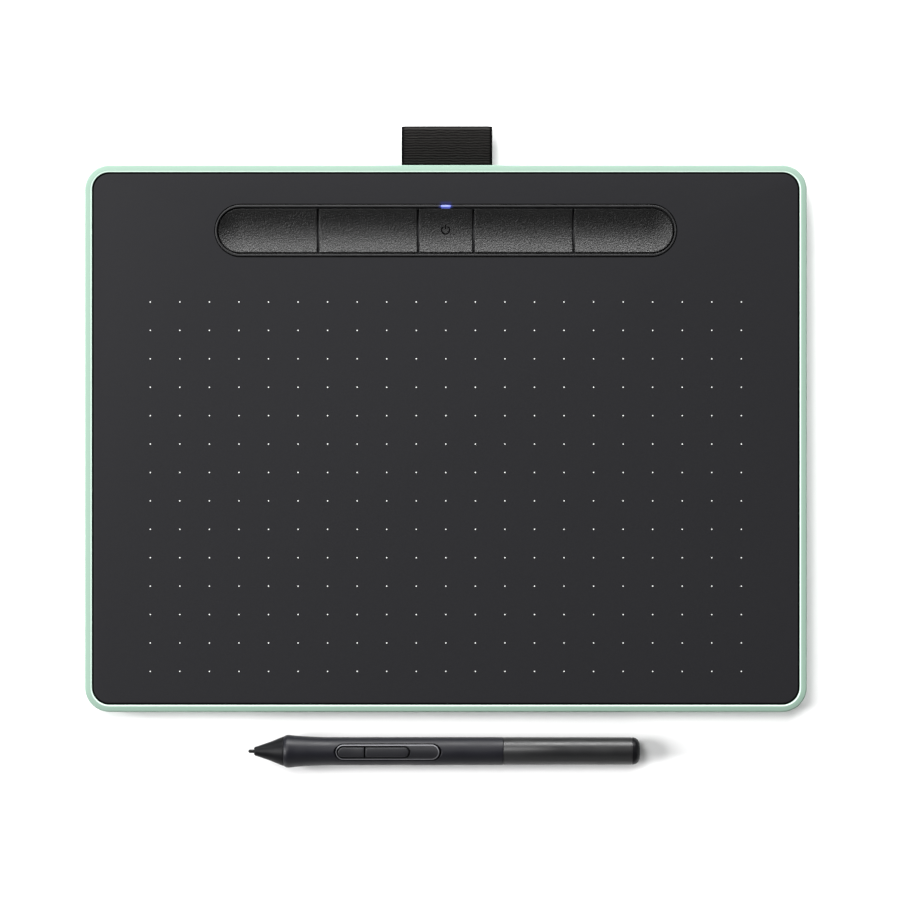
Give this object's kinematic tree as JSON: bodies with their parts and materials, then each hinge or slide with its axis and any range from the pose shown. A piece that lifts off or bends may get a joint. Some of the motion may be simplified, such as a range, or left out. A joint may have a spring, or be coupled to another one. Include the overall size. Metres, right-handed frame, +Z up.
{
  "type": "pen drawing tablet",
  "caption": "Flat drawing tablet with a pale green case, dark active surface, recessed key bar, fabric pen loop and a cordless pen lying in front.",
  "frame": {"origin": "on the desk, at the centre of the footprint of the tablet, its loop and its pen together", "axes": "+X to the right along the tablet's long side, +Y away from the user towards the key bar and loop, +Z up out of the drawing surface"},
  "size_m": [0.264, 0.2348, 0.012],
  "materials": {
    "green_case": "pale green satin plastic",
    "surface": "dark grey plastic with a fine paper-like grain",
    "key": "dark grey plastic with a coarse grain",
    "bezel": "dark grey plastic",
    "light_guide": "clear diffusing plastic, lit blue-white",
    "inner_plastic": "black moulded plastic",
    "board": "green solder mask over glass fibre laminate",
    "chip": "black moulded package",
    "steel": "plated steel",
    "shield": "tinned sheet steel",
    "cell": "foil pouch",
    "ribbon": "amber polyimide film",
    "rubber": "matt black rubber",
    "fabric": "ribbed black woven ribbon",
    "soft_grip": "dark grey plastic with a soft-touch coat",
    "pen_plastic": "dark grey satin plastic",
    "nib": "black polyacetal",
    "ferrite": "dark sintered ferrite",
    "copper": "enamelled copper winding"
  },
  "bodies": {
    "tablet": {"battery_cell": "cell", "battery_lead": "ribbon", "battery_plug": "chip", "board_screw_1": "steel", "board_screw_2": "steel", "board_screw_3": "steel", "case_screw_front_left": "steel", "case_screw_front_right": "steel", "case_screw_rear_left": "steel", "case_screw_rear_right": "steel", "controller_chip": "chip", "drawing_surface": "surface", "foot_front_left": "rubber", "foot_front_right": "rubber", "foot_rear_left": "rubber", "foot_rear_right": "rubber", "key_bezel": "bezel", "key_retainer": "inner_plastic", "key_switch_1": "steel", "key_switch_2": "steel", "key_switch_3": "steel", "key_switch_4": "steel", "light_guide": "light_guide", "loop_clamp": "inner_plastic", "main_board": "board", "pen_loop": "fabric", "power_switch": "steel", "radio_module": "shield", "rear_case": "green_case", "sensor_board": "board", "sensor_cable": "ribbon", "sensor_shield": "shield", "status_led": "light_guide", "usb_socket": "steel"},
    "key_1": {"express_key_1": "key"},
    "key_2": {"express_key_2": "key"},
    "key_3": {"express_key_3": "key"},
    "key_4": {"express_key_4": "key"},
    "power": {"power_button": "key"},
    "pen": {"nose_cone": "pen_plastic", "grip_barrel": "soft_grip", "switch_bezel": "pen_plastic", "ferrite_core": "ferrite", "pen_coil": "copper", "pressure_sensor": "shield", "pen_chassis": "inner_plastic", "spare_nib_1": "nib", "spare_nib_2": "nib", "spare_nib_3": "nib", "pen_board": "board", "pen_switch_front": "steel", "pen_switch_rear": "steel"},
    "pen_nib": {"nib": "nib", "nib_rod": "inner_plastic"},
    "pen_front_button": {"front_button": "pen_plastic"},
    "pen_rear_button": {"rear_button": "pen_plastic"},
    "pen_rear_barrel": {"rear_barrel": "pen_plastic"}
  },
  "joints": [
    {"name": "express_key_1_press", "type": "slide", "parent": "tablet", "child": "key_1", "axis": [0, 0, -1], "range_m": [0, 0.0005], "stiffness_N_per_m": 400, "springref_m": -0.0015},
    {"name": "express_key_2_press", "type": "slide", "parent": "tablet", "child": "key_2", "axis": [0, 0, -1], "range_m": [0, 0.0005], "stiffness_N_per_m": 400, "springref_m": -0.0015},
    {"name": "express_key_3_press", "type": "slide", "parent": "tablet", "child": "key_3", "axis": [0, 0, -1], "range_m": [0, 0.0005], "stiffness_N_per_m": 400, "springref_m": -0.0015},
    {"name": "express_key_4_press", "type": "slide", "parent": "tablet", "child": "key_4", "axis": [0, 0, -1], "range_m": [0, 0.0005], "stiffness_N_per_m": 400, "springref_m": -0.0015},
    {"name": "power_button_press", "type": "slide", "parent": "tablet", "child": "power", "axis": [0, 0, -1], "range_m": [0, 0.0005], "stiffness_N_per_m": 400, "springref_m": -0.0015},
    {"name": "pen_lift", "type": "slide", "parent": "tablet", "child": "pen", "axis": [0, 0, 1], "range_m": [0, 0.06]},
    {"name": "nib_press", "type": "slide", "parent": "pen", "child": "pen_nib", "axis": [1, 0, -0.0079], "range_m": [0, 0.0005], "stiffness_N_per_m": 1000, "springref_m": -0.0005},
    {"name": "front_button_press", "type": "slide", "parent": "pen", "child": "pen_front_button", "axis": [-0.0079, 0, -1], "range_m": [0, 0.0004], "stiffness_N_per_m": 400, "springref_m": -0.001},
    {"name": "rear_button_press", "type": "slide", "parent": "pen", "child": "pen_rear_button", "axis": [-0.0079, 0, -1], "range_m": [0, 0.0004], "stiffness_N_per_m": 400, "springref_m": -0.001},
    {"name": "rear_barrel_pull", "type": "slide", "parent": "pen", "child": "pen_rear_barrel", "axis": [1, 0, -0.0079], "range_m": [0, 0.021]}
  ]
}
